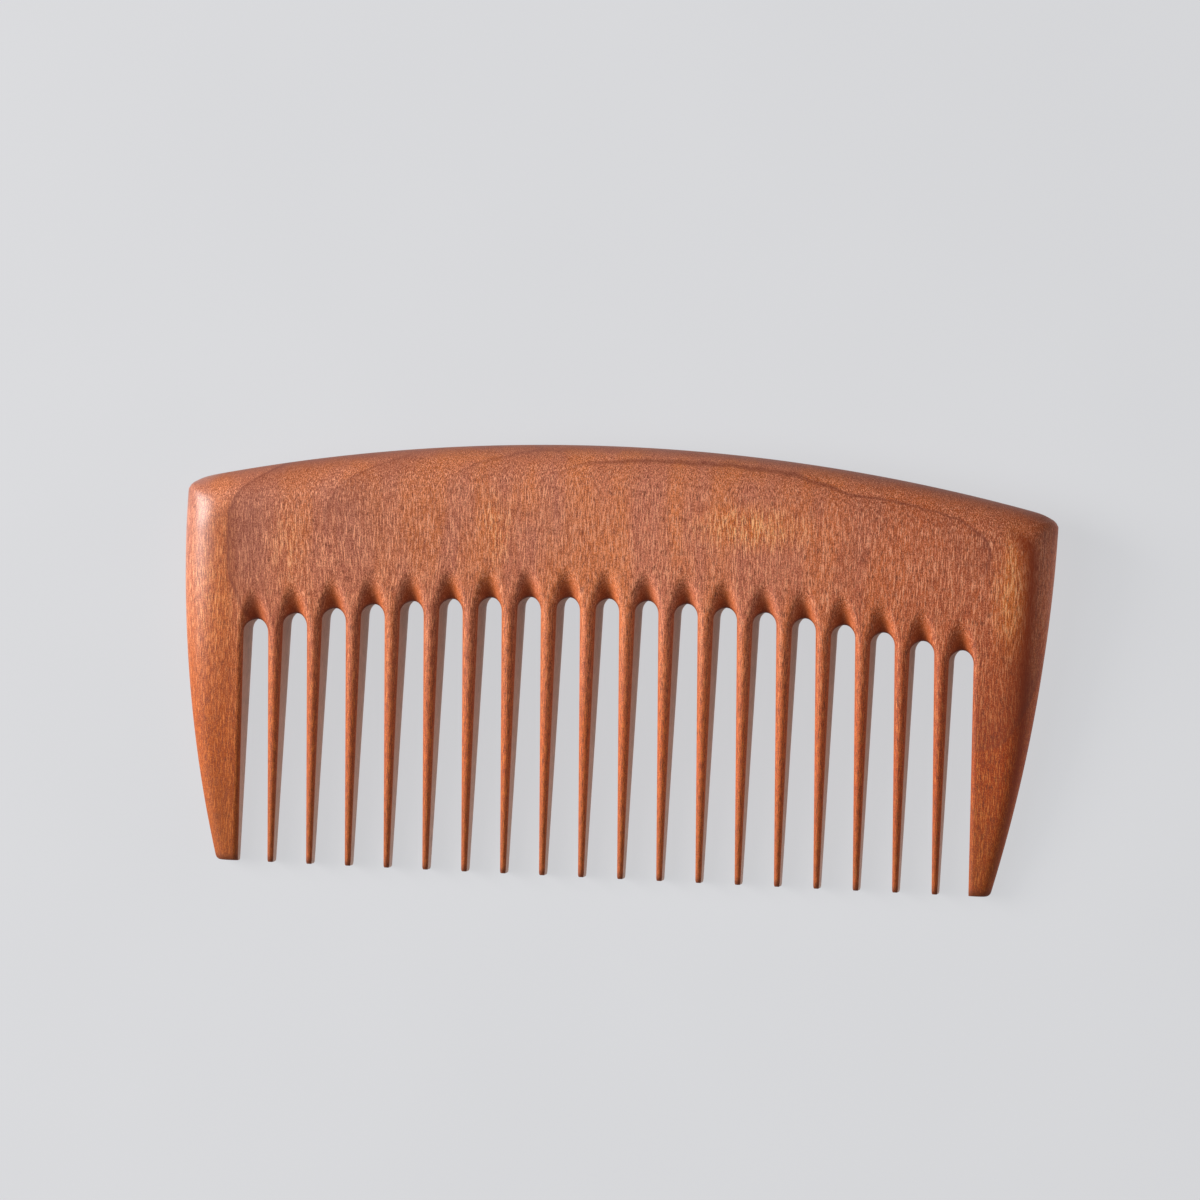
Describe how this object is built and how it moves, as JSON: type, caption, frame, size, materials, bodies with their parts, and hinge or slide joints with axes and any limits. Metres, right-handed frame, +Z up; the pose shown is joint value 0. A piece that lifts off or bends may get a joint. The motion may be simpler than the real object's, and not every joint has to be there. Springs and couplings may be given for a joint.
{
  "type": "wooden comb",
  "caption": "Wide-tooth hair comb cut from one piece of wood, with an arched rounded back, tapered teeth and two broad end guards, lying on its rear face.",
  "frame": {"origin": "Centre of the comb's box on the surface that it lies on, under its rear face.", "axes": "+X runs along the back towards the slightly broader guard, +Y points from the tips of the teeth to the back, and +Z points up out of the front face."},
  "size_m": [0.1199, 0.0588, 0.0112],
  "materials": {
    "wood": "oiled reddish-brown fruitwood, satin, with fine short grain flecks and faint dark growth lines"
  },
  "bodies": {
    "root": {"comb": "wood"}
  },
  "joints": []
}
